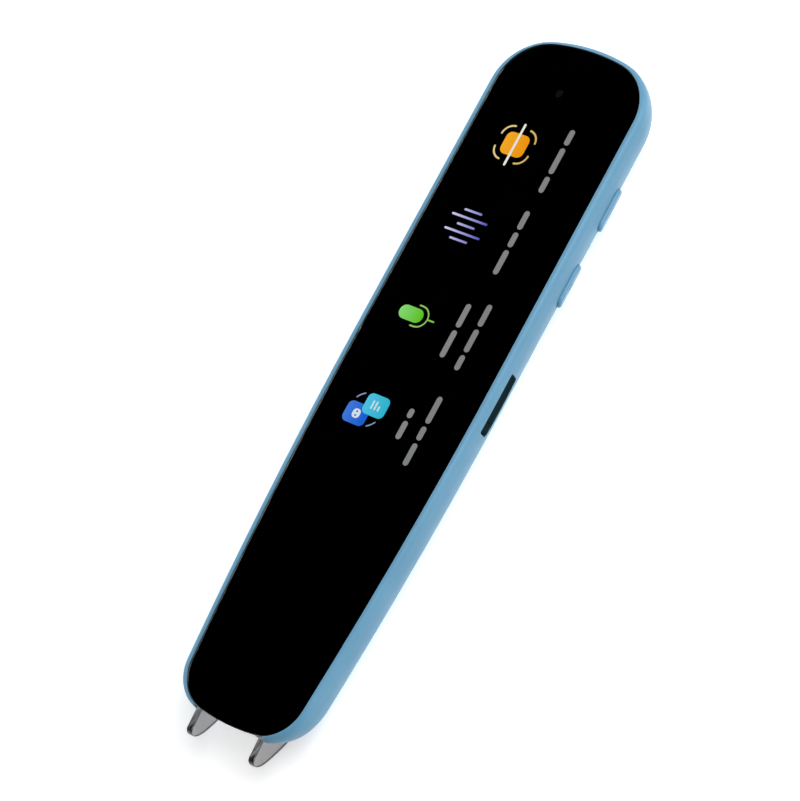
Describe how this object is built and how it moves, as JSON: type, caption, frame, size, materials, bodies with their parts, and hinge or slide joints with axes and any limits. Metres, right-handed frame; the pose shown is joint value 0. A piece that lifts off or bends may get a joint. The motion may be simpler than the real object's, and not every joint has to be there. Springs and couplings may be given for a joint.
{
  "type": "handheld translator",
  "caption": "Pen-shaped handheld scanning translator: moulded tub under a full-length cover glass, side keys, hinged port cover, slotted speaker and a smoke scanning hood at the tip",
  "frame": {"origin": "centre of the flat back face, on the resting surface", "axes": "+X towards the side with the keys, +Y towards the rear end away from the scanning tip, +Z out of the screen"},
  "size_m": [0.038, 0.1619, 0.0138],
  "materials": {
    "adhesive": "foam tape",
    "battery_foil": "laminate pouch",
    "black_plastic": "moulded",
    "board_green": "solder mask",
    "chip_black": "moulded package",
    "cover_glass": "black printed glass",
    "dark_rubber": "moulded rubber",
    "display_stack": "laminated panel",
    "foam": "foam",
    "lead_wire": "insulated wire",
    "lens_glass": "coated lens",
    "mesh_fabric": "woven screen",
    "polyimide": "flexible film",
    "sky_plastic": "satin moulded shell",
    "smoke_plastic": "clear smoke moulding",
    "steel": "plated",
    "tin_plate": "tinned sheet",
    "white_plastic": "moulded"
  },
  "bodies": {
    "tub": {"housing": "sky_plastic", "cover_glass": "cover_glass", "glass_adhesive": "adhesive", "midframe": "black_plastic", "display_cell": "display_stack", "backlight_unit": "white_plastic", "display_flex": "polyimide", "display_socket": "chip_black", "light_sensor": "chip_black", "antenna": "polyimide", "main_board": "board_green", "frame_screws": "steel", "processor": "chip_black", "memory_chip": "chip_black", "power_chip": "chip_black", "sound_chip": "chip_black", "camera_socket": "chip_black", "battery_socket": "white_plastic", "shield_can": "tin_plate", "radio_module": "tin_plate", "coils": "chip_black", "battery_pack": "battery_foil", "battery_pads": "foam", "battery_lead": "lead_wire", "speaker_mesh": "mesh_fabric", "speaker_gasket": "foam", "speaker_box": "black_plastic", "speaker_driver": "steel", "speaker_lead": "lead_wire", "microphone": "tin_plate", "microphone_boot": "dark_rubber", "usb_socket": "steel", "usb_tongue": "black_plastic", "cover_pin": "steel", "power_switch": "tin_plate", "home_switch": "tin_plate", "scan_baffle": "black_plastic", "scan_window": "lens_glass", "scan_lights": "white_plastic", "lens_holder": "black_plastic", "scan_lens": "lens_glass", "image_sensor": "chip_black", "camera_board": "board_green", "camera_flex": "polyimide", "left_tip_switch": "tin_plate", "right_tip_switch": "tin_plate"},
    "power_key": {"power_button": "sky_plastic", "power_stem": "white_plastic"},
    "home_key": {"home_button": "sky_plastic", "home_stem": "white_plastic"},
    "hood": {"scan_hood": "smoke_plastic", "tip_stems": "white_plastic"},
    "cover": {"port_cover": "dark_rubber"}
  },
  "joints": [
    {"name": "power_press", "type": "slide", "parent": "tub", "child": "power_key", "axis": [-1, 0, 0], "range_m": [0, 0.0003], "stiffness_N_per_m": 6000},
    {"name": "home_press", "type": "slide", "parent": "tub", "child": "home_key", "axis": [-1, 0, 0], "range_m": [0, 0.0003], "stiffness_N_per_m": 6000},
    {"name": "hood_press", "type": "slide", "parent": "tub", "child": "hood", "axis": [0, 1, 0], "range_m": [0, 0.0004], "stiffness_N_per_m": 4000},
    {"name": "cover_swing", "type": "hinge", "parent": "tub", "child": "cover", "pos_m": [0.0174, -0.0028, 0.0094], "axis": [0, 0, -1], "range_deg": [0, 90]}
  ]
}
